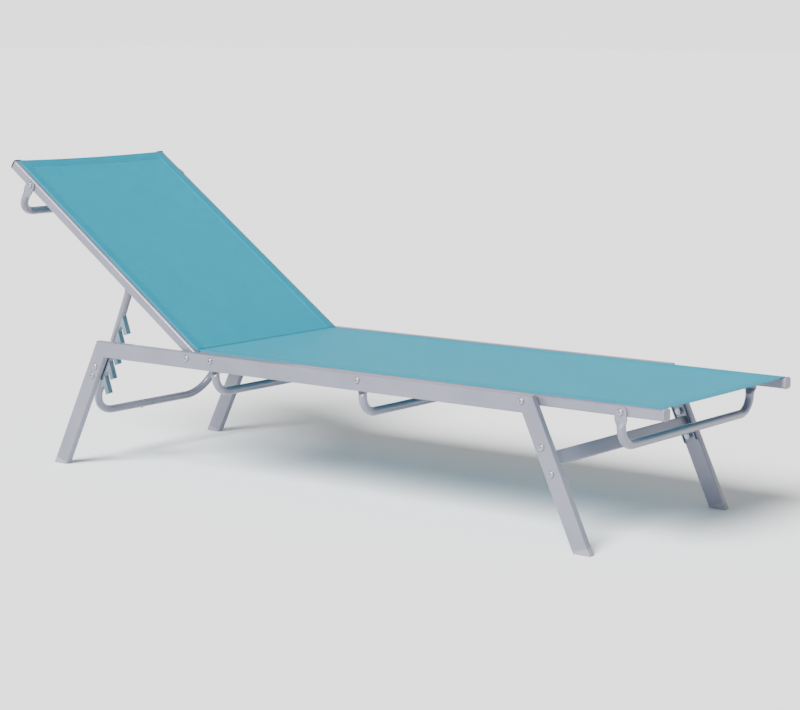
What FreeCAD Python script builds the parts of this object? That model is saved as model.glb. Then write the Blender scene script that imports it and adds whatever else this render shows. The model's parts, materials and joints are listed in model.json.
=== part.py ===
import FreeCAD, Part
import math
import os

os.makedirs("parts", exist_ok=True)
V = FreeCAD.Vector

# ---------------------------------------------------------------- frame
# Millimetres. +X is the foot end, +Y the left side, +Z up. Everything is
# drawn with the recline pivot at x = 0; HINGE_X moves it into the row frame,
# whose origin is the bottom centre of the whole lounger at rest.
HINGE_X = -329.4

# ---------------------------------------------------------------- base
BASE_HALF_WIDTH = 280.0      # outer faces of the side frames
TUBE_H = 38.0                # side-frame tube, height and thickness
TUBE_T = 17.0
TUBE_WALL = 1.5
TUBE_EDGE = 2.5
RAIL_TOP = 313.0
BOLT_Z = 299.0               # one row of bolts along each side rail
REAR_CORNER_X = -272.0       # inner mitre corners under the rail
FRONT_CORNER_X = 941.0
REAR_SPLAY = 26.5
FRONT_SPLAY = 25.0
CAP_OUTER_Z = 15.0           # where the tube ends and the foot cap starts
CAP_INNER_Z = 3.5
Y_OUT = BASE_HALF_WIDTH
Y_IN = BASE_HALF_WIDTH - TUBE_T
RAIL_BOTTOM = RAIL_TOP - TUBE_H

# ---------------------------------------------------------------- sling rails
STRAP_T = 3.6                # flattened ends of the spreader tubes
GAP = 4.0                    # side frame to sling rail
R_OUT = Y_IN - GAP
R_WIDTH = 24.0
R_IN = R_OUT - R_WIDTH
R_UP = 14.0                  # top and bottom of the rail from the bolt line
R_DOWN = -9.0
CHAMBER_UP = 4.2             # top of the rail's hollow; the wall is RAIL_WALL all round
RAIL_WALL = 1.8
SLOT_Y = 249.5
SEAT_START = 26.0
SEAT_END = 1261.0
BACK_START = -11.0
BACK_END = 730.0
CAP_DEPTH = 4.0
CAP_OVER = 1.3               # how far a cap stands past the rail
PLUG_PLAY = 0.2
BACK_ANGLE = 35.0
SLING_Y = 248.0
SLING_T = 1.2
SLING_LIFT = 0.4

# ---------------------------------------------------------------- spreaders
SPREADER_D = 19.0
SPREADER_WALL = 1.5
SPREADER_R = 39.5
FOOT_SPREADER_R = 40.0
HEAD_SPREADER_R = 48.0
STRAP_W = 28.0
REAR_SPREADER_X = 74.0
MIDDLE_SPREADER_X = 508.0
FRONT_BOLT_X = 940.0
FOOT_SPREADER_X = 1167.0
SPREADER_Z = 223.0
FOOT_SPREADER_Z = 227.5
HEAD_SPREADER_S = 651.0
HEAD_SPREADER_DROP = 82.0

# ---------------------------------------------------------------- prop
PROP_S = 276.0               # pivot along the backrest rail, and off its bolt line
PROP_N = -0.5
PROP_FOOT = (-397.0, 117.5)  # x and z of the bottom bar at rest
PROP_TOP_Y = 225.0
PROP_BOTTOM_Y = 200.0
PROP_R = 75.0
PROP_JOINT_Y = -1.0
PROP_SCREW_Y = -26.0
RACK_T = 13.0
RACK_PITCH = 43.0
RACK_FIRST = 131.0           # tip of the first hook below the pivot
HOOKS = 5
CATCH = (-251.0, 297.0)      # catch pin, x and z
CATCH_D = 9.0
CATCH_END_Y = 203.0

# ---------------------------------------------------------------- fasteners
BOLT_D = 8.0
HEAD_D = 14.0
HEAD_H = 4.0
NUT_AF = 13.0
NUT_H = 6.5
WASHER_D = 16.0
WASHER_H = 1.4
HOLE_D = 8.2
PIVOT_HOLE_D = 8.1
CROSSBAR_H = 30.0
CROSSBAR_T = 15.0
CROSSBAR_CENTRE = (1003.0, 183.0)
CROSSBAR_BOLT_HALF = 29.0
LEG_BOLTS_REAR = [(-301.5, 251.0), (-312.0, 228.0)]

exported = {}


def export(name, shape):
    """Write one node, moved from the pivot's frame to the row frame."""
    placed = shape.copy()
    placed.translate(V(HINGE_X, 0, 0))
    placed.exportStep("parts/" + name + ".step")
    exported[name] = placed


def mirrored(shape):
    """The same shape on the other side of the lounger."""
    return shape.mirror(V(0, 0, 0), V(0, 1, 0))


def pair(name, left):
    """One node each side."""
    export("left_" + name, left)
    export("right_" + name, mirrored(left))


def pair_in_one(name, left):
    """Identical small pieces of both sides as one node."""
    solids = list(left.Solids)
    export(name, Part.makeCompound(solids + list(mirrored(left).Solids)))


def one(shape):
    """The single solid of a boolean result, refined."""
    solids = shape.removeSplitter().Solids
    assert len(solids) == 1, "expected one solid"
    return solids[0]


def prism(points, y0, y1):
    """A polygon in the x-z plane, extruded from y0 to y1."""
    corners = [V(x, y0, z) for x, z in points]
    face = Part.Face(Part.makePolygon(corners + corners[:1]))
    return face.extrude(V(0, y1 - y0, 0))


def rod(x, z, y0, y1, diameter):
    """A round bar across the lounger."""
    return Part.makeCylinder(diameter / 2, abs(y1 - y0), V(x, min(y0, y1), z), V(0, 1, 0))


def hexagon(x, z, y0, height, across_flats):
    """A hexagonal prism across the lounger."""
    radius = across_flats / math.sqrt(3)
    angles = [math.radians(60 * i) for i in range(6)]
    points = [(x + radius * math.cos(a), z + radius * math.sin(a)) for a in angles]
    return prism(points, y0, y0 + height)


def bar(length, height, thickness, edge):
    """A rectangular bar along +X, centred on its axis, with rounded long edges."""
    box = Part.makeBox(length, thickness, height, V(0, -thickness / 2, -height / 2))
    along = [e for e in box.Edges if abs(e.Length - length) < 1e-6]
    return box.makeFillet(edge, along)


def tube(length, height, thickness):
    """A rectangular tube along +X, open at both ends."""
    hollow_h = height - 2 * TUBE_WALL
    hollow_t = thickness - 2 * TUBE_WALL
    hollow = bar(length + 2, hollow_h, hollow_t, TUBE_EDGE - TUBE_WALL)
    hollow.translate(V(-1, 0, 0))
    return bar(length, height, thickness, TUBE_EDGE).cut(hollow)


def aimed(shape, start, angle):
    """A shape drawn along +X, turned in the x-z plane and moved to start.

    angle is in degrees, up from +X."""
    turned = shape.copy()
    turned.rotate(V(0, 0, 0), V(0, 1, 0), -angle)
    turned.translate(start)
    return turned


def on_backrest(shape):
    """A shape drawn on the flat-lying backrest, raised to the rest angle.

    The flat backrest runs along -X with the pivot at the origin."""
    raised = shape.copy()
    raised.rotate(V(0, 0, 0), V(0, 1, 0), BACK_ANGLE)
    raised.translate(V(0, 0, BOLT_Z))
    return raised


def drilled(shape, holes, y0, y1, diameter=HOLE_D):
    """Cross holes at each (x, z)."""
    for x, z in holes:
        shape = shape.cut(rod(x, z, y0, y1, diameter))
    return shape


def bolt(x, z, head_y, end_y):
    """A button-head bolt through the left side, its head outboard at head_y."""
    head = rod(x, z, head_y, head_y + HEAD_H, HEAD_D)
    rim = [e for e in head.Edges if abs(e.BoundBox.YMax - head_y - HEAD_H) < 1e-6
           and abs(e.BoundBox.YMin - head_y - HEAD_H) < 1e-6]
    head = head.makeFillet(HEAD_H * 0.7, rim)
    head = head.cut(hexagon(x, z, head_y + HEAD_H - 2.2, 3.0, 5.0))
    return one(head.fuse(rod(x, z, end_y, head_y, BOLT_D)))


def nut(x, z, face_y):
    """A flanged nut whose flange sits against an inboard face at face_y."""
    flange = rod(x, z, face_y - WASHER_H, face_y, WASHER_D)
    body = hexagon(x, z, face_y - WASHER_H - NUT_H, NUT_H, NUT_AF)
    return one(flange.fuse(body).cut(rod(x, z, face_y - 20, face_y + 5, BOLT_D)))


def bolt_and_nut(x, z, head_y, face_y):
    """A bolt from head_y inboard to a nut against face_y."""
    end_y = face_y - WASHER_H - NUT_H - 1.5
    return Part.makeCompound([bolt(x, z, head_y, end_y), nut(x, z, face_y)])


# ================================================================ side frames
rear_mitre = TUBE_H * math.tan(math.radians(45 - REAR_SPLAY / 2))
front_mitre = TUBE_H * math.tan(math.radians(45 - FRONT_SPLAY / 2))
rear_in = (REAR_CORNER_X, RAIL_BOTTOM)
rear_out = (REAR_CORNER_X - rear_mitre, RAIL_TOP)
front_in = (FRONT_CORNER_X, RAIL_BOTTOM)
front_out = (FRONT_CORNER_X + front_mitre, RAIL_TOP)
tube_y = (Y_OUT + Y_IN) / 2

rail_bolts = [(0, BOLT_Z), (REAR_SPREADER_X, BOLT_Z), (MIDDLE_SPREADER_X, BOLT_Z),
              (FRONT_BOLT_X, BOLT_Z)]

rail = tube(1400, TUBE_H, TUBE_T)
rail = aimed(rail, V(-350, tube_y, (RAIL_TOP + RAIL_BOTTOM) / 2), 0)
rail = rail.common(prism([rear_out, front_out, front_in, rear_in], Y_IN - 1, Y_OUT + 1))
pair("base_rail", one(drilled(rail, rail_bolts, Y_IN - 1, Y_OUT + 1)))


def leg_points(corner_in, corner_out, slope, top_in_z, bottom_out_z, bottom_in_z):
    """The four side-view corners of a leg, or of its cap, between given heights."""
    def at(corner, z):
        return (corner[0] + slope * (corner[1] - z), z)
    top_out = corner_out if top_in_z is None else at(corner_out, top_in_z[1])
    top_in = corner_in if top_in_z is None else at(corner_in, top_in_z[0])
    return [top_in, top_out, at(corner_out, bottom_out_z), at(corner_in, bottom_in_z)]


def leg_bar(corner_in, corner_out, slope, solid):
    """The leg's straight stock, long enough for any cut, with its local axis placed."""
    angle = math.degrees(math.atan(slope))
    mid_x = (corner_in[0] + corner_out[0]) / 2 + slope * (corner_in[1] + corner_out[1]) / 2
    length = 420.0
    stock = solid(length)
    start = V(mid_x + slope * 25, tube_y, -25)
    up = 90 + angle
    return aimed(stock, start, up)


def full_stock(length):
    return bar(length, TUBE_H, TUBE_T, TUBE_EDGE)


def hollow_stock(length):
    return tube(length, TUBE_H, TUBE_T)


def plug_stock(length):
    inner_h = TUBE_H - 2 * TUBE_WALL - 0.2
    inner_t = TUBE_T - 2 * TUBE_WALL - 0.2
    return bar(length, inner_h, inner_t, 1.0)


def make_leg(corner_in, corner_out, slope):
    points = leg_points(corner_in, corner_out, slope, None, CAP_OUTER_Z, CAP_INNER_Z)
    stock = leg_bar(corner_in, corner_out, slope, hollow_stock)
    return one(stock.common(prism(points, Y_IN - 1, Y_OUT + 1)))


def make_foot(corner_in, corner_out, slope):
    """A wedge that closes the leg and stands flat, with a plug up the tube."""
    seam = (CAP_INNER_Z, CAP_OUTER_Z)
    wedge_points = leg_points(corner_in, corner_out, slope, seam, 0.0, 0.0)
    wedge = leg_bar(corner_in, corner_out, slope, full_stock)
    wedge = wedge.common(prism(wedge_points, Y_IN - 1, Y_OUT + 1))
    plug_top = (CAP_INNER_Z + 26, CAP_OUTER_Z + 26)
    plug_points = leg_points(corner_in, corner_out, slope, plug_top, CAP_OUTER_Z - 0.5,
                             CAP_INNER_Z - 0.5)
    plug = leg_bar(corner_in, corner_out, slope, plug_stock)
    plug = plug.common(prism(plug_points, Y_IN - 1, Y_OUT + 1))
    foot = wedge.fuse(plug)
    low = min(wedge_points[2][0], wedge_points[3][0])
    for i in range(4):
        x = low + 7.0 + i * 8.5
        foot = foot.cut(prism([(x - 1.2, -1), (x + 1.2, -1), (x, 1.4)], Y_IN - 1, Y_OUT + 1))
    return one(foot)


rear_slope = -math.tan(math.radians(REAR_SPLAY))
front_slope = math.tan(math.radians(FRONT_SPLAY))
leg_dir = V(math.sin(math.radians(FRONT_SPLAY)), 0, -math.cos(math.radians(FRONT_SPLAY)))
front_leg_bolts = []
for side in (-1, 1):
    shift = leg_dir * (side * CROSSBAR_BOLT_HALF)
    front_leg_bolts.append((CROSSBAR_CENTRE[0] + shift.x, CROSSBAR_CENTRE[1] + shift.z))

rear_leg = make_leg(rear_in, rear_out, rear_slope)
pair("rear_leg", one(drilled(rear_leg, LEG_BOLTS_REAR, Y_IN - 1, Y_OUT + 1)))
front_leg = make_leg(front_in, front_out, front_slope)
pair("front_leg", one(drilled(front_leg, front_leg_bolts, Y_IN - 1, Y_OUT + 1)))
pair("rear_foot", make_foot(rear_in, rear_out, rear_slope))
pair("front_foot", make_foot(front_in, front_out, front_slope))


# ================================================================ sling rails
def sling_rail(x0, x1):
    """The extruded rail that holds the sling, bolt line at z = 0, left side."""
    length = x1 - x0
    box = Part.makeBox(length, R_WIDTH, R_UP - R_DOWN, V(x0, R_IN, R_DOWN))
    crown = []
    soft = []
    for edge in box.Edges:
        if abs(edge.Length - length) < 1e-6:
            centre = edge.CenterOfMass
            if centre.y > R_OUT - 1 and centre.z > R_UP - 1:
                crown.append(edge)
            else:
                soft.append(edge)
    body = box.makeFillet(6.0, crown)
    soft = [e for e in body.Edges if any((e.CenterOfMass - s.CenterOfMass).Length < 1e-3
                                         for s in soft)]
    body = body.makeFillet(3.0, soft)
    chamber_low = R_DOWN + RAIL_WALL
    chamber = Part.makeBox(length + 2, R_WIDTH - 2 * RAIL_WALL, CHAMBER_UP - chamber_low,
                           V(x0 - 1, R_IN + RAIL_WALL, chamber_low))
    side = Part.makeBox(length + 2, 7.4, 6.0, V(x0 - 1, R_IN + 2, 6.0))
    channel = Part.makeCylinder(3.3, length + 2, V(x0 - 1, SLOT_Y, 9.2), V(1, 0, 0))
    slot = Part.makeBox(length + 2, 2.4, 8.0, V(x0 - 1, SLOT_Y - 1.2, 9.2))
    return body.cut(chamber).cut(side).cut(channel).cut(slot)


def keder(x0, x1):
    """The rod in the sling's hem, with the doubled cloth that leaves the slot."""
    core = Part.makeCylinder(2.9, x1 - x0, V(x0, SLOT_Y, 9.2), V(1, 0, 0))
    web = Part.makeBox(x1 - x0, 1.4, R_UP + SLING_LIFT - 0.2 - 9.2, V(x0, SLOT_Y - 0.7, 9.2))
    return one(core.fuse(web))


def rail_plug(length):
    """The tongue that a cap or a plug pushes into the rail's hollow, behind x = 0."""
    inset = RAIL_WALL + PLUG_PLAY
    low = R_DOWN + inset
    return Part.makeBox(length, R_WIDTH - 2 * inset, CHAMBER_UP - PLUG_PLAY - low,
                        V(-length, R_IN + inset, low))


def end_cap(x, way):
    """A flat cap on the end of a sling rail; way is +1 towards +X."""
    y0 = R_IN - CAP_OVER
    y1 = R_OUT + CAP_OVER
    z0 = R_DOWN - CAP_OVER
    z1 = R_UP + CAP_OVER
    flange = Part.makeBox(CAP_DEPTH, y1 - y0, z1 - z0, V(0, y0, z0))
    sides = [e for e in flange.Edges if abs(e.Length - CAP_DEPTH) < 1e-6]
    flange = flange.makeFillet(7.0, sides)
    front = [e for e in flange.Edges if e.BoundBox.XMin > CAP_DEPTH - 1e-3]
    flange = flange.makeFillet(2.5, front)
    cap = one(flange.fuse(rail_plug(20.0)))
    if way < 0:
        middle = V(0, (y0 + y1) / 2, 0)
        cap = cap.mirror(middle, V(1, 0, 0))
    cap.translate(V(x, 0, 0))
    return cap


def end_plug(x, way):
    """A thin flat plug for the end that faces the hinge."""
    plate = Part.makeBox(2.0, R_WIDTH - 2, R_UP - R_DOWN - 2, V(0, R_IN + 1, R_DOWN + 1))
    piece = one(plate.fuse(rail_plug(5.0)))
    if way < 0:
        piece = piece.mirror(V(0, 0, 0), V(1, 0, 0))
    piece.translate(V(x, 0, 0))
    return piece


lift = V(0, 0, BOLT_Z)


def raised(shape):
    """A shape drawn on the bolt line, lifted to the seat."""
    up = shape.copy()
    up.translate(lift)
    return up


seat_rail = raised(sling_rail(SEAT_START, SEAT_END))
seat_holes = rail_bolts[1:] + [(FOOT_SPREADER_X, BOLT_Z)]
pair("seat_rail", one(drilled(seat_rail, seat_holes, R_IN - 1, R_OUT + 1)))
pair("seat_rail_cap", raised(end_cap(SEAT_END, 1)))
pair_in_one("seat_rail_plugs", raised(end_plug(SEAT_START, -1)))
pair("seat_keder", raised(keder(SEAT_START + 6, SEAT_END - 8)))
sling_z = BOLT_Z + R_UP + SLING_LIFT
seat_sling = Part.makeBox(SEAT_END - 37, 2 * SLING_Y, SLING_T, V(34, -SLING_Y, sling_z))
export("seat_sling", seat_sling)

back_rail = sling_rail(-BACK_END, -BACK_START)
back_rail = drilled(back_rail, [(0, 0)], R_IN - 1, R_OUT + 1, PIVOT_HOLE_D)
back_rail = drilled(back_rail, [(-HEAD_SPREADER_S, 0)], R_IN - 1, R_OUT + 1)
back_rail = drilled(back_rail, [(-PROP_S, PROP_N)], R_IN - 1, R_IN + 3)
pair("back_rail", on_backrest(one(back_rail)))
pair("back_rail_cap", on_backrest(end_cap(-BACK_END, -1)))
pair_in_one("back_rail_plugs", on_backrest(end_plug(-BACK_START, 1)))
pair("back_keder", on_backrest(keder(-BACK_END + 3, -8)))
back_sling = Part.makeBox(BACK_END - 32, 2 * SLING_Y, SLING_T,
                          V(-BACK_END + 2, -SLING_Y, R_UP + SLING_LIFT))
export("back_sling", on_backrest(back_sling))


# ================================================================ spreaders
def strap(x, z, y_mid, drop):
    """A flattened tube end: a plate in the x-z plane with a rounded top and one hole."""
    plate = Part.makeBox(STRAP_W, STRAP_T, drop, V(x - STRAP_W / 2, y_mid - STRAP_T / 2, z - drop))
    top = rod(x, z, y_mid - STRAP_T / 2, y_mid + STRAP_T / 2, STRAP_W)
    upper = Part.makeBox(STRAP_W, STRAP_T, 11.0, V(x - STRAP_W / 2, y_mid - STRAP_T / 2, z))
    plate = plate.fuse(top.common(upper))
    return plate.cut(rod(x, z, y_mid - 5, y_mid + 5, HOLE_D))


def crimp(x, z_top, y_top, z_low, y_low):
    """The transition from the flattened end down to the round tube."""
    flat = Part.Ellipse(V(x, y_top, z_top), STRAP_W / 2, STRAP_T / 2).toShape()
    flat_wire = Part.Wire([flat])
    round_edge = Part.Circle(V(x, y_low, z_low), V(0, 0, 1), SPREADER_D / 2)
    round_wire = Part.Wire([round_edge.toShape()])
    return Part.makeLoft([flat_wire, round_wire], True)


def swept_tube(start, way, steps):
    """A round tube run from start: each step is a length, or a bend
    (radius, way to the bend's centre, degrees)."""
    outer = SPREADER_D / 2
    ring = Part.Face(Part.Wire([Part.Circle(start, way, outer).toShape()]))
    bore = Part.Face(Part.Wire([Part.Circle(start, way, outer - SPREADER_WALL).toShape()]))
    ring = ring.cut(bore)
    point = V(start)
    way = V(way).normalize()
    pieces = []
    for step in steps:
        if isinstance(step, tuple):
            radius, inward, degrees = step
            centre = point + V(inward).normalize() * radius
            axis = way.cross(V(inward).normalize())
            pieces.append(ring.revolve(centre, axis, degrees))
            ring = ring.copy()
            ring.rotate(centre, axis, degrees)
            turned = FreeCAD.Rotation(axis, degrees)
            point = centre + turned.multVec(point - centre)
            way = turned.multVec(way)
        else:
            pieces.append(ring.extrude(way * step))
            ring = ring.copy()
            ring.translate(way * step)
            point = point + way * step
    body = pieces[0]
    for piece in pieces[1:]:
        body = body.fuse(piece)
    return body


def spreader(x, bolt_z, strap_y, arm_y, crimp_z, arm_z, low_z, radius):
    """A bent tube with flattened ends that ties both sides together."""
    bend = (radius, V(0, -1, 0), 90)
    other = (radius, V(0, 0, 1), 90)
    arm = arm_z - low_z - radius
    body = swept_tube(V(x, arm_y, arm_z), V(0, 0, -1),
                      [arm, bend, 2 * (arm_y - radius), other, arm])
    neck = crimp(x, crimp_z, strap_y, arm_z, arm_y)
    flat = strap(x, bolt_z, strap_y, bolt_z - crimp_z)
    for piece in (neck, mirrored(neck), flat, mirrored(flat)):
        body = body.fuse(piece)
    return one(body)


strap_mid = Y_IN - GAP / 2
for name, x in (("rear", REAR_SPREADER_X), ("middle", MIDDLE_SPREADER_X)):
    export(name + "_spreader",
           spreader(x, BOLT_Z, strap_mid, strap_mid, 274.5, 263.0, SPREADER_Z, SPREADER_R))
outer_strap = R_OUT + 0.2 + STRAP_T / 2
export("foot_spreader",
       spreader(FOOT_SPREADER_X, BOLT_Z, outer_strap, outer_strap - 2.5, 280.0, 268.0,
                FOOT_SPREADER_Z, FOOT_SPREADER_R))
export("head_spreader",
       on_backrest(spreader(-HEAD_SPREADER_S, 0, outer_strap, outer_strap - 2.5, -20.0, -33.0,
                            -HEAD_SPREADER_DROP, HEAD_SPREADER_R)))

# ---------------------------------------------------------------- front crossbar
plate_y = Y_IN
plate_t = 2.5
bar_end = plate_y - plate_t - 0.1
crossbar = tube(2 * bar_end, CROSSBAR_H, CROSSBAR_T)
crossbar.rotate(V(0, 0, 0), V(0, 0, 1), -90)
crossbar.translate(V(0, bar_end, 0))
crossbar.rotate(V(0, 0, 0), V(0, 1, 0), -FRONT_SPLAY)
crossbar.translate(V(CROSSBAR_CENTRE[0], 0, CROSSBAR_CENTRE[1]))
export("front_crossbar", one(crossbar))

plate_l = 2 * CROSSBAR_BOLT_HALF + 28
plate_w = 32.0
flange_h = 3.0
plate = Part.makeBox(plate_w, plate_t, plate_l, V(-plate_w / 2, plate_y - plate_t, -plate_l / 2))
for edge_x in (-plate_w / 2, plate_w / 2 - 2.5):
    lip = Part.makeBox(2.5, flange_h, plate_l, V(edge_x, plate_y - plate_t - flange_h, -plate_l / 2))
    plate = plate.fuse(lip)
plate.rotate(V(0, 0, 0), V(0, 1, 0), -FRONT_SPLAY)
plate.translate(V(CROSSBAR_CENTRE[0], 0, CROSSBAR_CENTRE[1]))
pair("crossbar_plate", one(drilled(plate, front_leg_bolts, Y_IN - 10, Y_OUT)))

# ---------------------------------------------------------------- prop catch
catch_x, catch_z = CATCH
catch_t = 4.0
upper_x, upper_z = LEG_BOLTS_REAR[0]
lower_x, lower_z = LEG_BOLTS_REAR[1]
catch_points = [(lower_x - 12, lower_z - 12), (upper_x - 17, upper_z + 22), (-292, 307),
                (catch_x + 10, 307), (catch_x + 10, 287), (-272, 270), (lower_x + 16, lower_z - 12)]
catch = prism(catch_points, Y_IN - catch_t, Y_IN)
catch = drilled(catch, LEG_BOLTS_REAR, Y_IN - catch_t - 1, Y_IN + 1)
catch = catch.cut(rod(catch_x, catch_z, Y_IN - catch_t - 1, Y_IN + 1, CATCH_D))
pair("catch_bracket", one(catch))
catch_pin = rod(catch_x, catch_z, CATCH_END_Y, Y_IN - 0.1, CATCH_D)
tip = [e for e in catch_pin.Edges if e.BoundBox.YMax < CATCH_END_Y + 1e-3]
pair_in_one("catch_pins", catch_pin.makeFillet(1.5, tip))

# ================================================================ fasteners
rail_fixings = [bolt_and_nut(x, BOLT_Z, Y_OUT, R_IN) for x, _ in rail_bolts[1:]]
pair_in_one("seat_rail_bolts", Part.makeCompound(rail_fixings))
pair_in_one("pivot_bolts", bolt_and_nut(0, BOLT_Z, Y_OUT, R_IN - 1.0))
pivot_gap = rod(0, BOLT_Z, R_OUT + 0.4, Y_IN, 18.0)
front_gap = rod(FRONT_BOLT_X, BOLT_Z, R_OUT, Y_IN, 18.0)
pair_in_one("pivot_spacers", pivot_gap.cut(rod(0, BOLT_Z, R_OUT - 1, Y_IN + 1, BOLT_D)))
pair_in_one("front_spacers", front_gap.cut(rod(FRONT_BOLT_X, BOLT_Z, R_OUT - 1, Y_IN + 1, BOLT_D)))
strap_face = outer_strap + STRAP_T / 2
pair_in_one("foot_spreader_bolts", bolt_and_nut(FOOT_SPREADER_X, BOLT_Z, strap_face, R_IN))
plate_face = plate_y - plate_t
crossbar_fixings = [bolt_and_nut(x, z, Y_OUT, plate_face) for x, z in front_leg_bolts]
pair_in_one("crossbar_bolts", Part.makeCompound(crossbar_fixings))
catch_fixings = [bolt_and_nut(x, z, Y_OUT, Y_IN - catch_t) for x, z in LEG_BOLTS_REAR]
pair_in_one("catch_bolts", Part.makeCompound(catch_fixings))
head_fixing = bolt_and_nut(-HEAD_SPREADER_S, 0, strap_face, R_IN)
pair_in_one("head_spreader_bolts", on_backrest(head_fixing))

# ================================================================ prop
# The prop is drawn in its own plane: a runs from the pivot to the bottom bar,
# y across the lounger, f forward, square to both. place_prop() moves it home.
angle = math.radians(BACK_ANGLE)
pivot = V(-PROP_S * math.cos(angle) + PROP_N * math.sin(angle), 0,
          BOLT_Z + PROP_S * math.sin(angle) + PROP_N * math.cos(angle))
foot = V(PROP_FOOT[0], 0, PROP_FOOT[1])
PROP_L = (foot - pivot).Length
down = (foot - pivot).normalize()
forward = down.cross(V(0, 1, 0))


def place_prop(shape):
    """From (a, y, f) drawn as (x, y, z) to the rest pose."""
    matrix = FreeCAD.Matrix(down.x, 0, forward.x, pivot.x,
                            down.y, 1, forward.y, pivot.y,
                            down.z, 0, forward.z, pivot.z, 0, 0, 0, 1)
    placed = shape.copy()
    placed.Placement = FreeCAD.Placement(matrix).multiply(placed.Placement)
    return placed


taper = math.atan2(PROP_TOP_Y - PROP_BOTTOM_Y, PROP_L)
lean = V(math.cos(taper), -math.sin(taper), 0)
turn = PROP_R * math.tan(math.radians(45) - taper / 2)
arm_start = V(0, PROP_TOP_Y, 0) + lean * 38.0
arm_length = (V(PROP_L, PROP_BOTTOM_Y, 0) - arm_start).Length - turn
lean_side = V(-math.sin(taper), -math.cos(taper), 0)


def prop_half(end_y):
    """One J-shaped half, from the pivot to the joint in the bottom bar."""
    bend = (PROP_R, lean_side, 90 - math.degrees(taper))
    body = swept_tube(arm_start, lean, [arm_length, bend, PROP_BOTTOM_Y - turn - end_y])
    strap_y = R_IN - 1.5 - STRAP_T / 2
    flat = Part.makeBox(20, STRAP_T, STRAP_W - 4, V(0, strap_y - STRAP_T / 2, -(STRAP_W - 4) / 2))
    eye = Part.makeCylinder((STRAP_W - 4) / 2, STRAP_T, V(0, strap_y - STRAP_T / 2, 0), V(0, 1, 0))
    flat_edge = Part.Ellipse(V(0, 0, 0), (STRAP_W - 4) / 2, STRAP_T / 2).toShape()
    flat_edge.rotate(V(0, 0, 0), V(0, 1, 0), 90)
    flat_edge.translate(V(20, strap_y, 0))
    round_edge = Part.Circle(V(0, 0, 0), V(0, 0, 1), SPREADER_D / 2).toShape()
    round_edge.rotate(V(0, 0, 0), V(0, 1, 0), 90)
    round_edge.rotate(V(0, 0, 0), V(0, 0, 1), -math.degrees(taper))
    round_edge.translate(arm_start)
    neck = Part.makeLoft([Part.Wire([flat_edge]), Part.Wire([round_edge])], True)
    half = body.fuse(neck).fuse(flat).fuse(eye)
    return one(half.cut(Part.makeCylinder(PIVOT_HOLE_D / 2, 20, V(0, strap_y - 10, 0), V(0, 1, 0))))


left_half = prop_half(PROP_JOINT_Y + 0.4)
right_half = mirrored(prop_half(-PROP_JOINT_Y + 0.4))
sleeve = Part.makeCylinder(SPREADER_D / 2 - SPREADER_WALL - 0.05, 90,
                           V(PROP_L, PROP_JOINT_Y - 45, 0), V(0, 1, 0))
screw = Part.makeCylinder(2.5, SPREADER_D + 5.5, V(PROP_L - SPREADER_D / 2 - 1.5, PROP_SCREW_Y, 0),
                          V(1, 0, 0))
screw_nut = Part.makeCylinder(4.5, 3.0, V(PROP_L + SPREADER_D / 2, PROP_SCREW_Y, 0), V(1, 0, 0))
screw_hole = Part.makeCylinder(2.55, 40, V(PROP_L - 20, PROP_SCREW_Y, 0), V(1, 0, 0))
export("left_prop_half", place_prop(left_half))
export("right_prop_half", place_prop(one(right_half.cut(screw_hole))))
export("prop_sleeve", place_prop(one(sleeve.cut(screw_hole))))
export("prop_screw", place_prop(one(screw.fuse(screw_nut))))


def rack():
    """A row of hooks with round-bottomed notches, on the front of one arm."""
    root = 5.0
    tip = 38.0
    start = RACK_FIRST - 38.0
    outline = [(start - 14, root), (start, root + 2)]
    for i in range(HOOKS):
        tip_a = RACK_FIRST + i * RACK_PITCH
        outline.append((tip_a - 5, tip))
        outline.append((tip_a + 4, tip - 8))
        outline.append((tip_a - 12, 14))
        outline.append((tip_a - 5, 9))
        outline.append((tip_a + 5, root + 3))
    outline.append((RACK_FIRST + (HOOKS - 1) * RACK_PITCH + 22, root))
    corners = [V(a, -RACK_T / 2, f) for a, f in outline]
    face = Part.Face(Part.makePolygon(corners + corners[:1]))
    body = face.extrude(V(0, RACK_T, 0))
    for i in range(HOOKS):
        tip_a = RACK_FIRST + i * RACK_PITCH
        notch = Part.makeCylinder(8.2, RACK_T + 2, V(tip_a + 4.5, -RACK_T / 2 - 1, 19.2), V(0, 1, 0))
        body = body.cut(notch)
    arm = Part.makeCylinder(SPREADER_D / 2 + 0.05, 400, V(0, 0, 0), V(1, 0, 0))
    return one(body.cut(arm))


rack_left = rack()
rack_left.rotate(V(0, 0, 0), V(0, 0, 1), -math.degrees(taper))
rack_left.translate(V(0, PROP_TOP_Y, 0))
export("left_rack", place_prop(rack_left))
export("right_rack", place_prop(mirrored(rack_left)))

strap_in = R_IN - 1.5 - STRAP_T
pin = Part.makeCylinder(BOLT_D / 2, R_IN + 4 - strap_in + 1, V(0, strap_in - 1, 0), V(0, 1, 0))
pin_head = Part.makeCylinder(HEAD_D / 2, 3.0, V(0, strap_in - 3.5, 0), V(0, 1, 0))
pin_collar = Part.makeCylinder(4.5, 2.0, V(0, R_IN + 2.1, 0), V(0, 1, 0))
pin_washer = Part.makeCylinder(8.0, 1.2, V(0, R_IN - 1.3, 0), V(0, 1, 0))
prop_pin = one(pin.fuse([pin_head, pin_collar, pin_washer]))
prop_pin.translate(V(-PROP_S, 0, PROP_N))
pair_in_one("prop_pivot_pins", on_backrest(prop_pin))

whole = Part.makeCompound(list(exported.values())).BoundBox
print("nodes", len(exported))
print("box %.2f..%.2f  %.2f..%.2f  %.2f..%.2f" % (whole.XMin, whole.XMax, whole.YMin,
                                                  whole.YMax, whole.ZMin, whole.ZMax))
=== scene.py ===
import json
import math

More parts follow.
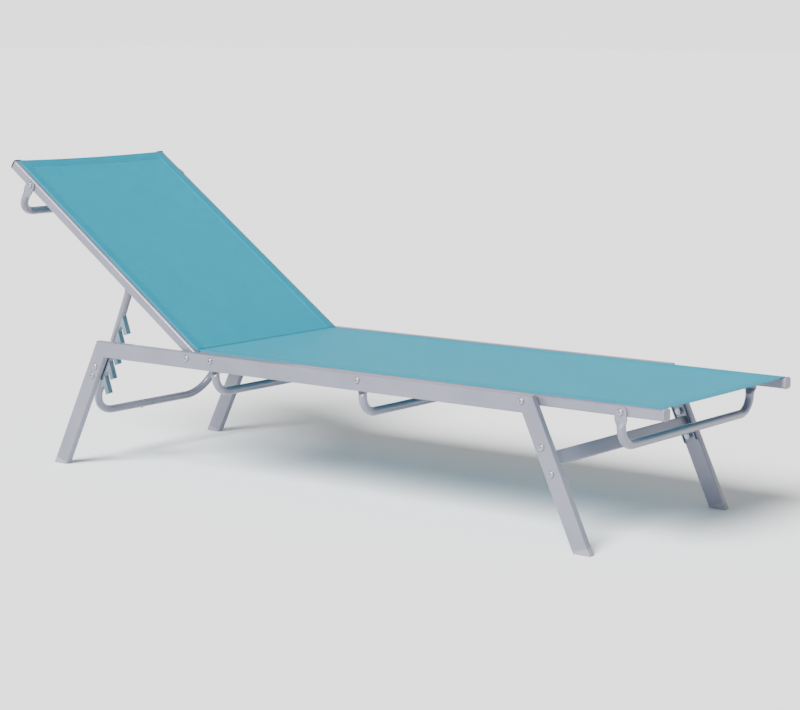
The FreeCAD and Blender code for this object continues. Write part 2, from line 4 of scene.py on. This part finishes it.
import bpy
import numpy as np
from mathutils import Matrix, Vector


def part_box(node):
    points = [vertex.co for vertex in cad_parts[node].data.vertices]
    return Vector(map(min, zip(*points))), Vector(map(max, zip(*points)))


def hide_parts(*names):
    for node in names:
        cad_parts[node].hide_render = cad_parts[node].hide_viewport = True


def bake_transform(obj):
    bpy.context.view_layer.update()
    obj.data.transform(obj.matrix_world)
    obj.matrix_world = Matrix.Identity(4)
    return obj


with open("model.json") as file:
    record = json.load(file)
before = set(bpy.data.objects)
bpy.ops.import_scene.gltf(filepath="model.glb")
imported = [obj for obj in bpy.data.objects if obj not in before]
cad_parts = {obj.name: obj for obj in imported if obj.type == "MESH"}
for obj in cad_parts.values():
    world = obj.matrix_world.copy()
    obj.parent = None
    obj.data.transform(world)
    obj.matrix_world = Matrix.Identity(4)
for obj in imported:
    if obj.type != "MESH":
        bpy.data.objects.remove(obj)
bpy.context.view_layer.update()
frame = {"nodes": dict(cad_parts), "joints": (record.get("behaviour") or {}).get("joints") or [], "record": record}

# Everything is in metres, in the row frame: +X to the foot end, +Y to the left,
# +Z up. The cloth is laid out by two lengths: "along", which is 0 at the fold
# over the recline pivot, positive over the seat and negative up the backrest,
# and "across", which is 0 on the centre line.

# ---------------------------------------------------------------- places
HINGE = Vector(frame["joints"][0]["pos_m"])
BACK_ANGLE = math.radians(35.0)
SEAT_LOW, SEAT_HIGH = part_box("seat_sling")
KEDER_LOW, KEDER_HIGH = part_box("left_seat_keder")
_, BACK_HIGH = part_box("back_sling")
LIFT = SEAT_LOW.z - HINGE.z
CLOTH_T = 0.0011
OVERHANG = 0.001          # how far the cloth's ends pass the plain panels it replaces
SLOT_Y = (KEDER_LOW.y + KEDER_HIGH.y) / 2
FOLD_S = LIFT * math.tan(BACK_ANGLE / 2)
FOLD = Vector((HINGE.x + FOLD_S, 0.0, SEAT_LOW.z))
GAP_MIDDLE = 0.014        # middle of the gap between the rails, along the cloth
GAP_HALF = 0.0085         # half its length
FREE_MIDDLE = 0.013       # middle of the stretch where no rail holds the cloth's edge
FREE_HALF = 0.034         # half its length
UP_THE_BACK = Vector((-math.cos(BACK_ANGLE), 0.0, math.sin(BACK_ANGLE)))
SEAT_LENGTH = SEAT_HIGH.x - FOLD.x + OVERHANG
BACK_LENGTH = (BACK_HIGH.z - SEAT_HIGH.z) / math.sin(BACK_ANGLE) + OVERHANG

# ---------------------------------------------------------------- sewing
SIDE_HEM = 0.027          # width of the doubled band along each side
END_HEM = 0.026
HEM_STEP = 0.0006         # how far the doubled cloth stands up
STITCH_LENGTH = 0.0034
STITCH_PITCH = 0.0046
STITCH_INSET = 0.003      # from the hem's inner edge to the seam
STITCH_ARCH = 0.00022     # how far a stitch stands up in its middle
STITCH_SINK = 0.00012     # and how far its ends go into the cloth
THREAD_R = 0.00032
SEAM_FROM_HEAD = 0.004    # the side seams start and stop this far from the cloth's ends
SEAM_FROM_FOOT = 0.003
SEAM_HALF = 0.2435        # half the length of the seams across the ends
WEAVE_PITCH = 0.0011
HEM_SOFT = 0.0005         # the hem's step rises from this far before its edge
HEM_SHARP = 0.0003        # to this far behind it

# ---------------------------------------------------------------- how the cloth hangs
FOLD_HALF = 0.007         # the cloth turns over this length each side of the fold
FOLD_SHADE_HALF = 0.006       # and has painted shade this far each side of it
PULL_IN = 0.006           # the free edge between the two rails draws in
DROOP = 0.0055            # and hangs down a little
DROOP_WIDTH = 0.012
SLACK_SHARE = 0.97        # the cloth sags and ripples inside this share of its half width
SEAT_SAG = 0.0045
BACK_SAG = 0.0030
SAG_FROM = 0.01           # the sag grows between these distances from the fold
SAG_FULL = 0.20
SEAT_HOLLOW = 0.0045      # how far the middle of each end draws in
BACK_HOLLOW = 0.0025
END_REACH = 0.09          # the ends are felt this far in
END_HOLD = 0.35           # and take away this share of the sag
EDGE_TUCK = 0.0021        # the sides go down into the slots
TUCK_WIDTH = 0.0042
RIPPLE = 0.00035          # faint waves near the head
RIPPLE_RATE = 95.0        # radians per metre along the cloth
RIPPLE_SLANT = 1.6
RIPPLE_FROM = 0.46        # they grow between these distances from the fold
RIPPLE_FULL = 0.70
FOLD_RIPPLE = 0.00045     # and others beside the fold
FOLD_RIPPLE_RATE = 17.0   # radians per half width
FOLD_RIPPLE_START = 0.4
FOLD_RIPPLE_REACH = 0.09
FOLD_CALM = 0.004         # the fold itself has none; they are whole from FOLD_LIVELY on
FOLD_LIVELY = 0.02

# ---------------------------------------------------------------- the cloth's grid
FOLD_ZONE = 0.04          # rows are close this far each side of the fold
HEM_MARGIN = 0.004        # even rows and columns stop this far before a hem
RIM = 0.0006              # the last row but one is this far from the cloth's end

# ---------------------------------------------------------------- stage
FLOOR_HALF = 90.0
FLOOR_Z = -0.0005
ROOM_GLOW = 0.32
HORIZON_GLOW = 2.1
GLOW_LOW = 0.12           # the glow falls off between these two rises, as sines
GLOW_HIGH = 0.36
SUN_FROM = (0.05, -0.85, 0.80)
SUN_POWER = 8.4
SUN_WIDTH = 30.0          # degrees
CAMERA_FROM_HINGE = (3.4276, -3.8416)
CAMERA_Z = 1.0491
CAMERA_TURN = math.radians(38.19)
CAMERA_TILT = math.radians(8.585)      # down from level
CAMERA_LENS = 97.26       # mm, on a sensor of this width
CAMERA_SENSOR = 36.0


# ================================================================ small helpers
def smooth(value, low, high):
    """0 below low, 1 above high, with a soft turn at both."""
    t = np.clip((value - low) / (high - low), 0.0, 1.0)
    return t * t * (3.0 - 2.0 * t)


def new_mesh(name, points, faces, smooth_shaded=True):
    """A new object from points and faces, linked to the scene."""
    mesh = bpy.data.meshes.new(name)
    mesh.from_pydata([tuple(p) for p in points], [], faces)
    mesh.validate()
    mesh.update()
    if smooth_shaded:
        mesh.shade_smooth()
    piece = bpy.data.objects.new(name, mesh)
    bpy.context.scene.collection.objects.link(piece)
    return piece


def point_value(piece, name, values):
    """Stores one number per point, for the materials to read."""
    attribute = piece.data.attributes.new(name, "FLOAT", "POINT")
    attribute.data.foreach_set("value", np.asarray(values, np.float32))


# ================================================================ materials
class Nodes:
    """A node material that is put together by short calls."""

    def __init__(self, name, **values):
        self.material = bpy.data.materials.new(name)
        self.material.use_nodes = True
        self.tree = self.material.node_tree
        self.shader = self.tree.nodes["Principled BSDF"]
        for key, value in values.items():
            self.shader.inputs[key.replace("_", " ")].default_value = value

    def add(self, kind, links=(), **settings):
        """A node; settings are its properties, links are (input, value or socket)."""
        node = self.tree.nodes.new(kind)
        for key, value in settings.items():
            setattr(node, key, value)
        for key, value in links:
            self.put(node.inputs[key], value)
        return node

    def put(self, socket, value):
        if isinstance(value, bpy.types.NodeSocket):
            self.tree.links.new(value, socket)
        else:
            socket.default_value = value

    def math(self, operation, first, second=0.0):
        return self.add("ShaderNodeMath", [(0, first), (1, second)], operation=operation).outputs[0]

    def place(self):
        return self.add("ShaderNodeTexCoord").outputs["Object"]

    def noise(self, where, scale, detail=2.0, roughness=0.5):
        node = self.add("ShaderNodeTexNoise", [("Vector", where), ("Scale", scale),
                                               ("Detail", detail), ("Roughness", roughness)])
        return node.outputs["Fac"]

    def stretch(self, where, factors):
        node = self.add("ShaderNodeVectorMath", [(0, where), (1, factors)], operation="MULTIPLY")
        return node.outputs[0]

    def span(self, value, from_low, from_high, to_low, to_high):
        node = self.add("ShaderNodeMapRange", [("Value", value), ("From Min", from_low),
                                               ("From Max", from_high), ("To Min", to_low),
                                               ("To Max", to_high)])
        return node.outputs["Result"]

    def mix(self, factor, first, second, blend="MIX"):
        node = self.add("ShaderNodeMix", data_type="RGBA", blend_type=blend)
        self.put(node.inputs[0], factor)
        self.put(node.inputs[6], first)
        self.put(node.inputs[7], second)
        return node.outputs[2]

    def bump(self, height, strength, distance):
        node = self.add("ShaderNodeBump", [("Height", height), ("Strength", strength),
                                           ("Distance", distance)])
        self.put(self.shader.inputs["Normal"], node.outputs[0])

    def set(self, name, value):
        self.put(self.shader.inputs[name], value)


def powder_coat(name, light, dark, metallic):
    """Satin powder coat over metal: fine orange peel, cloudy tone, small scuffs."""
    m = Nodes(name, Metallic=metallic, Coat_Weight=0.4, Coat_Roughness=0.12)
    place = m.place()
    cloud = m.noise(place, 9.0, 3.0)
    tone = m.mix(m.span(cloud, 0.35, 0.65, 0.0, 1.0), dark, light)
    scuff = m.noise(m.stretch(place, (14.0, 60.0, 60.0)), 4.0, 6.0, 0.65)
    rubbed = m.span(scuff, 0.66, 0.74, 0.0, 0.35)
    bright = tuple(min(1.0, c * 1.25) for c in light[:3]) + (1.0,)
    m.set("Base Color", m.mix(rubbed, tone, bright))
    fine = m.noise(place, 1400.0, 2.0)
    peel = m.span(fine, 0.3, 0.7, 0.30, 0.42)
    m.set("Roughness", m.math("ADD", peel, m.span(cloud, 0.3, 0.7, -0.03, 0.05)))
    m.bump(fine, 0.06, 0.0002)
    return m.material


def moulded_plastic(name, light, dark):
    """Injection-moulded plastic with a spark-eroded matt skin and handling marks."""
    m = Nodes(name)
    m.set("Specular IOR Level", 0.4)
    place = m.place()
    cloud = m.noise(place, 25.0, 3.0)
    m.set("Base Color", m.mix(m.span(cloud, 0.35, 0.65, 0.0, 1.0), dark, light))
    skin = m.noise(place, 2600.0, 3.0, 0.6)
    m.set("Roughness", m.span(cloud, 0.3, 0.7, 0.45, 0.6))
    m.bump(skin, 0.12, 0.0002)
    return m.material


def plated_steel(name, light, dark, roughness):
    """Zinc-plated or brushed steel with fine directional lines and faint tarnish."""
    m = Nodes(name, Metallic=1.0)
    place = m.place()
    lines = m.noise(m.stretch(place, (2400.0, 2400.0, 160.0)), 1.0, 2.0)
    cloud = m.noise(place, 60.0, 3.0)
    m.set("Base Color", m.mix(m.span(cloud, 0.35, 0.7, 0.0, 1.0), light, dark))
    m.set("Roughness", m.math("ADD", m.span(lines, 0.3, 0.7, -0.06, 0.06), roughness))
    m.bump(lines, 0.05, 0.0001)
    return m.material


def sling_cloth(name, yarn, deep, hem_shade):
    """Coated polyester mesh: over-under yarns, open corners, slubs and darker hems, with painted shade between the
    yarns and along the fold.
    """
    m = Nodes(name, Sheen_Weight=0.22, Sheen_Roughness=0.25)
    m.set("Sheen Tint", (0.45, 0.90, 1.0, 1.0))
    m.set("Specular IOR Level", 0.2)
    along = m.add("ShaderNodeAttribute", attribute_name="along").outputs["Fac"]
    across = m.add("ShaderNodeAttribute", attribute_name="across").outputs["Fac"]
    hem = m.add("ShaderNodeAttribute", attribute_name="hem").outputs["Fac"]
    u = m.math("DIVIDE", across, WEAVE_PITCH)
    v = m.math("DIVIDE", along, WEAVE_PITCH)
    warp = m.math("ABSOLUTE", m.math("SINE", m.math("MULTIPLY", u, math.pi)))
    weft = m.math("ABSOLUTE", m.math("SINE", m.math("MULTIPLY", v, math.pi)))
    squares = m.math("ADD", m.math("FLOOR", u), m.math("FLOOR", v))
    over = m.math("PINGPONG", squares, 1.0)
    warp_top = m.math("MULTIPLY", warp, m.math("ADD", m.math("MULTIPLY", weft, 0.45), 0.55))
    weft_top = m.math("MULTIPLY", weft, m.math("ADD", m.math("MULTIPLY", warp, 0.45), 0.55))
    under = m.math("SUBTRACT", 1.0, over)
    height = m.math("ADD", m.math("MULTIPLY", warp_top, over), m.math("MULTIPLY", weft_top, under))
    flat_place = m.add("ShaderNodeCombineXYZ", [("X", across), ("Y", along)]).outputs[0]
    warp_slub = m.noise(m.stretch(flat_place, (420.0, 14.0, 1.0)), 1.0, 3.0, 0.6)
    weft_slub = m.noise(m.stretch(flat_place, (14.0, 420.0, 1.0)), 1.0, 3.0, 0.6)
    slub = m.math("ADD", m.math("MULTIPLY", warp_slub, 0.5), m.math("MULTIPLY", weft_slub, 0.5))
    cloud = m.noise(flat_place, 7.0, 2.0)
    tone = m.mix(m.span(slub, 0.38, 0.62, 0.0, 1.0), deep, yarn)
    tone = m.mix(m.span(cloud, 0.35, 0.65, 0.0, 0.25), tone, deep)
    # The low places between the yarns are darkened: painted shade in the weave's hollows.
    gap = m.span(height, 0.05, 0.45, 0.55, 1.0)
    shaded = m.add("ShaderNodeVectorMath", [(0, tone)], operation="SCALE")
    m.put(shaded.inputs["Scale"], gap)
    # A narrow band over the fold is darkened: painted shade in the crease.
    painted_fold_shade = m.span(m.math("ABSOLUTE", along), 0.0, FOLD_SHADE_HALF, 1.0, 0.0)
    fold_shade_colour = (0.3, 0.5, 0.56, 1)
    fold_shaded = m.mix(painted_fold_shade, shaded.outputs[0], fold_shade_colour, "MULTIPLY")
    m.set("Base Color", m.mix(hem, fold_shaded, hem_shade, "MULTIPLY"))
    m.set("Roughness", m.span(slub, 0.35, 0.65, 0.52, 0.66))
    m.bump(height, 0.35, 0.0004)
    return m.material


def sewing_thread(name, light, dark):
    """Twisted polyester thread."""
    m = Nodes(name, Roughness=0.55, Sheen_Weight=0.3)
    twist = m.noise(m.stretch(m.place(), (3000.0, 3000.0, 3000.0)), 1.0, 1.0)
    m.set("Base Color", m.mix(m.span(twist, 0.35, 0.65, 0.0, 1.0), dark, light))
    m.bump(twist, 0.3, 0.0002)
    return m.material


# ================================================================ CAD nodes
def dress_frame():
    """Gives every CAD node the material of its slot, but the head's caps a near-black copy of the cap plastic:
    painted shade.
    """
    looks = {
        "frame": powder_coat("frame_paint", (0.200, 0.202, 0.258, 1),
                             (0.172, 0.174, 0.226, 1), 0.30),
        "rack": powder_coat("rack_paint", (0.20, 0.28, 0.34, 1), (0.15, 0.22, 0.28, 1), 0.6),
        "bracket": plated_steel("bracket_steel", (0.20, 0.23, 0.28, 1),
                                (0.14, 0.17, 0.21, 1), 0.42),
        "fastener": plated_steel("fastener_steel", (0.42, 0.43, 0.48, 1),
                                 (0.32, 0.33, 0.38, 1), 0.38),
        "end_cap": moulded_plastic("cap_plastic", (0.23, 0.23, 0.27, 1), (0.20, 0.20, 0.24, 1)),
        "foot": moulded_plastic("foot_plastic", (0.25, 0.255, 0.30, 1), (0.215, 0.22, 0.265, 1)),
        "keder": moulded_plastic("keder_cloth", (0.004, 0.20, 0.28, 1), (0.003, 0.16, 0.23, 1)),
        "sling": moulded_plastic("sling_core", (0.004, 0.26, 0.36, 1), (0.004, 0.22, 0.32, 1)),
    }
    # The head's caps are near-black: painted shade where their end faces turn away from the light.
    shaded_head_cap = moulded_plastic("head_cap_painted_shade", (0.035, 0.036, 0.042, 1),
                               (0.025, 0.026, 0.03, 1))
    for row in frame["record"]["subparts"]:
        node = frame["nodes"][row["node"]]
        dark = row["node"].endswith("back_rail_cap")
        look = shaded_head_cap if dark else looks[row["material_slot"]]
        node.data.materials.clear()
        node.data.materials.append(look)


# ================================================================ the sling
def base_line(along):
    """Centre line of the cloth's underside, and the direction square to it."""
    along = np.asarray(along, float)
    back = np.array(UP_THE_BACK)
    seat = np.array((1.0, 0.0, 0.0))
    fold = np.array(FOLD)
    t = np.clip((along + FOLD_HALF) / (2 * FOLD_HALF), 0.0, 1.0)
    outer_back = fold + back * FOLD_HALF
    outer_seat = fold + seat * FOLD_HALF
    bend = (np.outer((1 - t) ** 2, outer_back) + np.outer(2 * t * (1 - t), fold)
            + np.outer(t ** 2, outer_seat))
    over = np.maximum(np.abs(along) - FOLD_HALF, 0.0)
    way = np.where((along > 0)[:, None], seat, back)
    points = bend + way * over[:, None]
    run = np.outer(1 - t, fold - outer_back) + np.outer(t, outer_seat - fold)
    run /= np.linalg.norm(run, axis=1)[:, None]
    normal = np.stack([-run[:, 2], np.zeros(len(run)), run[:, 0]], axis=1)
    return points, normal


def edge_half_width(along):
    """Half the cloth's width: it draws in where no rail holds it."""
    free = (np.asarray(along) - FREE_MIDDLE) / FREE_HALF
    return SLOT_Y - PULL_IN * np.clip(1 - free ** 2, 0.0, 1.0) ** 2


def hem_amount(along, share, half):
    """1 where the cloth is doubled, along both sides and both ends."""
    def step(value, edge):
        return smooth(value, edge - HEM_SOFT, edge + HEM_SHARP)
    side = step(np.abs(share) * half, half - SIDE_HEM)
    foot = step(along, SEAT_LENGTH - END_HEM)
    head = step(-along, BACK_LENGTH - END_HEM)
    return np.maximum(side, np.maximum(foot, head))


def cloth_points(along, share, height):
    """Places on the cloth: share is -1..1 across it, height is above its underside."""
    along = np.asarray(along, float)
    share = np.asarray(share, float)
    half = edge_half_width(along)
    across = share * half
    ends = np.where(along > 0, SEAT_LENGTH, BACK_LENGTH)
    near_end = smooth(np.abs(along), ends - END_REACH, ends)
    hollow = (1 - share ** 2) * near_end * np.where(along > 0, SEAT_HOLLOW, BACK_HOLLOW)
    moved = along - np.sign(along) * hollow
    points, normal = base_line(moved)
    middle = np.clip(1 - (share / SLACK_SHARE) ** 2, 0.0, 1.0)
    taut = smooth(np.abs(along), SAG_FROM, SAG_FULL) * (1 - END_HOLD * near_end)
    sag = np.where(along > 0, SEAT_SAG, BACK_SAG) * middle * taut
    near_head = smooth(-along, RIPPLE_FROM, RIPPLE_FULL)
    waves = np.sin(along * RIPPLE_RATE + RIPPLE_SLANT * share)
    ripple = RIPPLE * waves * middle * near_head
    drawn = np.exp(-np.abs(along) / FOLD_RIPPLE_REACH) * middle
    drawn = drawn * smooth(np.abs(along), FOLD_CALM, FOLD_LIVELY)
    waves = np.sin(share * FOLD_RIPPLE_RATE + FOLD_RIPPLE_START)
    ripple = ripple + FOLD_RIPPLE * waves * drawn
    tuck = EDGE_TUCK * smooth(np.abs(share) * half, half - TUCK_WIDTH, half) ** 1.5
    hem = hem_amount(along, share, half)
    free = np.clip(1 - ((along - GAP_MIDDLE) / GAP_HALF) ** 2, 0.0, 1.0)
    tuck = tuck + DROOP * free * smooth(np.abs(share) * half, half - DROOP_WIDTH, half)
    top = height * (1 + hem * HEM_STEP / CLOTH_T)
    rise = top - sag - tuck + ripple
    places = points + normal * rise[:, None]
    places[:, 1] = across
    return places, across, hem


def lines_along():
    """Where the grid has a row of points: close at the fold and the hems."""
    seat = np.linspace(FOLD_ZONE, SEAT_LENGTH - END_HEM - HEM_MARGIN, 130)
    back = np.linspace(-BACK_LENGTH + END_HEM + HEM_MARGIN, -FOLD_ZONE, 76)
    fold = np.linspace(-FOLD_ZONE, FOLD_ZONE, 41)
    steps = np.array([-0.002, -0.0006, -0.0002, 0.0004, 0.002, 0.009, 0.016, 0.0225])
    foot = np.concatenate([SEAT_LENGTH - END_HEM + steps, [SEAT_LENGTH - RIM, SEAT_LENGTH]])
    head = -np.concatenate([BACK_LENGTH - END_HEM + steps, [BACK_LENGTH - RIM, BACK_LENGTH]])
    return np.unique(np.round(np.concatenate([seat, back, fold, foot, head]), 6))


def shares_across():
    """The grid's columns, as shares of the half width."""
    middle = np.linspace(0.0, (SLOT_Y - SIDE_HEM - HEM_MARGIN) / SLOT_Y, 26)
    beside = np.array([-0.002, -0.0005, -0.0001, 0.0003, 0.002, 0.008, 0.014])
    hem = (SLOT_Y - SIDE_HEM + beside) / SLOT_Y
    inward = np.array([0.0085, 0.006, 0.0045, 0.0034, 0.0024, 0.0015, 0.0007, 0.0])
    edge = (SLOT_Y - inward) / SLOT_Y
    half = np.concatenate([middle, hem, edge])
    return np.concatenate([-half[:0:-1], half])


def make_sling(look):
    """One closed thin skin over the whole lounger: top, underside and rim."""
    along = lines_along()
    share = shares_across()
    rows, columns = len(along), len(share)
    grid_along = np.repeat(along, columns)
    grid_share = np.tile(share, rows)
    top, across, hem = cloth_points(grid_along, grid_share, np.full(rows * columns, CLOTH_T))
    under, _, _ = cloth_points(grid_along, grid_share, np.zeros(rows * columns))
    size = rows * columns
    faces = []
    for i in range(rows - 1):
        for j in range(columns - 1):
            a = i * columns + j
            b = a + columns
            faces.append((a, b, b + 1, a + 1))
            faces.append((size + a, size + a + 1, size + b + 1, size + b))
    for i in range(rows - 1):
        a, b = i * columns, (i + 1) * columns
        faces.append((a, size + a, size + b, b))
        a, b = a + columns - 1, b + columns - 1
        faces.append((a, b, size + b, size + a))
    for j in range(columns - 1):
        a = j
        faces.append((a, a + 1, size + a + 1, size + a))
        a = (rows - 1) * columns + j
        faces.append((a, size + a, size + a + 1, a + 1))
    sling = new_mesh("sling", np.concatenate([top, under]), faces)
    point_value(sling, "along", np.tile(grid_along, 2))
    point_value(sling, "across", np.tile(across, 2))
    point_value(sling, "hem", np.tile(hem, 2))
    sling.data.materials.append(look)
    return sling


def stitch_rows():
    """Every stitch as (along, share, turned): turned ones run across the cloth."""
    found = []
    side_share = (SLOT_Y - SIDE_HEM + STITCH_INSET) / SLOT_Y
    for side in (-1, 1):
        for a in np.arange(-BACK_LENGTH + SEAM_FROM_HEAD, SEAT_LENGTH - SEAM_FROM_FOOT,
                           STITCH_PITCH):
            found.append((a, side * side_share, 0.0))
    for a in (-BACK_LENGTH + END_HEM - STITCH_INSET, SEAT_LENGTH - END_HEM + STITCH_INSET):
        for y in np.arange(-SEAM_HALF, SEAM_HALF, STITCH_PITCH):
            found.append((a, y / SLOT_Y, 1.0))
    return np.array(found)


def make_stitching(look):
    """The seams' thread: each stitch is a low rounded bead that dips at both ends."""
    places = stitch_rows()
    rings, around = 5, 6
    t = np.linspace(-1.0, 1.0, rings)
    blunt = 0.2               # a stitch's ends keep this share of its girth
    girth = THREAD_R * np.sqrt(np.maximum(1 - t ** 2, blunt ** 2))
    arch = STITCH_ARCH * (1 - t ** 2) - STITCH_SINK
    turn = np.linspace(0.0, 2 * math.pi, around, endpoint=False)
    lengths = np.repeat(t * STITCH_LENGTH / 2, around)
    widths = (girth[:, None] * np.cos(turn)).ravel()
    heights = (arch[:, None] + girth[:, None] * np.sin(turn)).ravel()
    count = rings * around
    turned = places[:, 2:3]
    along = places[:, :1] + lengths * (1 - turned) + widths * turned
    share = places[:, 1:2] + (widths * (1 - turned) + lengths * turned) / SLOT_Y
    lift = np.tile(heights, len(places))
    points, _, _ = cloth_points(along.ravel(), share.ravel(), np.full(along.size, CLOTH_T))
    _, normal = base_line(along.ravel())
    points = points + normal * lift[:, None]
    one = []
    for i in range(rings - 1):
        for j in range(around):
            k = (j + 1) % around
            one.append((i * around + j, i * around + k, (i + 1) * around + k, (i + 1) * around + j))
    one.append(tuple(range(around))[::-1])
    one.append(tuple(range(count - around, count)))
    faces = [tuple(n * count + v for v in face) for n in range(len(places)) for face in one]
    stitching = new_mesh("sling_stitching", points, faces)
    stitching.data.materials.append(look)
    return stitching


# ================================================================ stage
def make_stage():
    """A pale floor in a softly lit room, with one wide sun."""
    signs = ((-1, -1), (1, -1), (1, 1), (-1, 1))
    corners = [(x * FLOOR_HALF, y * FLOOR_HALF, FLOOR_Z) for x, y in signs]
    floor = new_mesh("floor", corners, [(0, 1, 2, 3)], False)
    m = Nodes("floor_pale", Roughness=1.0)
    m.set("Base Color", (0.98, 0.98, 0.98, 1))
    m.set("Specular IOR Level", 0.0)
    floor.data.materials.append(m.material)
    make_room()
    soft_sun("key", SUN_FROM, SUN_POWER, SUN_WIDTH)


def make_room():
    """The room's own glow: bright near the horizon, dimmer above."""
    world = bpy.data.worlds.new("studio")
    world.use_nodes = True
    tree = world.node_tree
    background = tree.nodes["Background"]
    background.inputs["Color"].default_value = (1.0, 1.0, 1.0, 1)
    place = tree.nodes.new("ShaderNodeTexCoord")
    split = tree.nodes.new("ShaderNodeSeparateXYZ")
    rise = tree.nodes.new("ShaderNodeMapRange")
    for key, value in (("From Min", GLOW_LOW), ("From Max", GLOW_HIGH),
                       ("To Min", HORIZON_GLOW), ("To Max", ROOM_GLOW)):
        rise.inputs[key].default_value = value
    tree.links.new(place.outputs["Generated"], split.inputs[0])
    tree.links.new(split.outputs["Z"], rise.inputs["Value"])
    tree.links.new(rise.outputs["Result"], background.inputs["Strength"])
    bpy.context.scene.world = world


def soft_sun(name, towards, power, width):
    """A wide, even light from far away; width is its disc in degrees."""
    light = bpy.data.lights.new(name, "SUN")
    light.energy = power
    light.angle = math.radians(width)
    lamp = bpy.data.objects.new(name, light)
    lamp.rotation_euler = Vector(towards).to_track_quat("Z", "Y").to_euler()
    bpy.context.scene.collection.objects.link(lamp)


def make_camera():
    """Stands off the foot end on the right, a little above the seat."""
    data = bpy.data.cameras.new("camera")
    data.sensor_width = CAMERA_SENSOR
    data.lens = CAMERA_LENS
    camera = bpy.data.objects.new("camera", data)
    camera.location = (HINGE.x + CAMERA_FROM_HINGE[0], CAMERA_FROM_HINGE[1], CAMERA_Z)
    camera.rotation_euler = (math.pi / 2 - CAMERA_TILT, 0.0, CAMERA_TURN)
    bpy.context.scene.collection.objects.link(camera)
    bpy.context.scene.camera = camera


# ================================================================ build
dress_frame()
cloth = sling_cloth("sling_weave", (0.0002, 0.280, 0.395, 1), (0.0002, 0.230, 0.335, 1),
                    (0.62, 0.88, 0.91, 1))
sling = make_sling(cloth)
stitching = make_stitching(sewing_thread("thread", (0.01, 0.26, 0.34, 1), (0.005, 0.18, 0.25, 1)))
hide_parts("seat_sling", "back_sling")
for piece in (sling, stitching):
    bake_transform(piece)
make_stage()
make_camera()
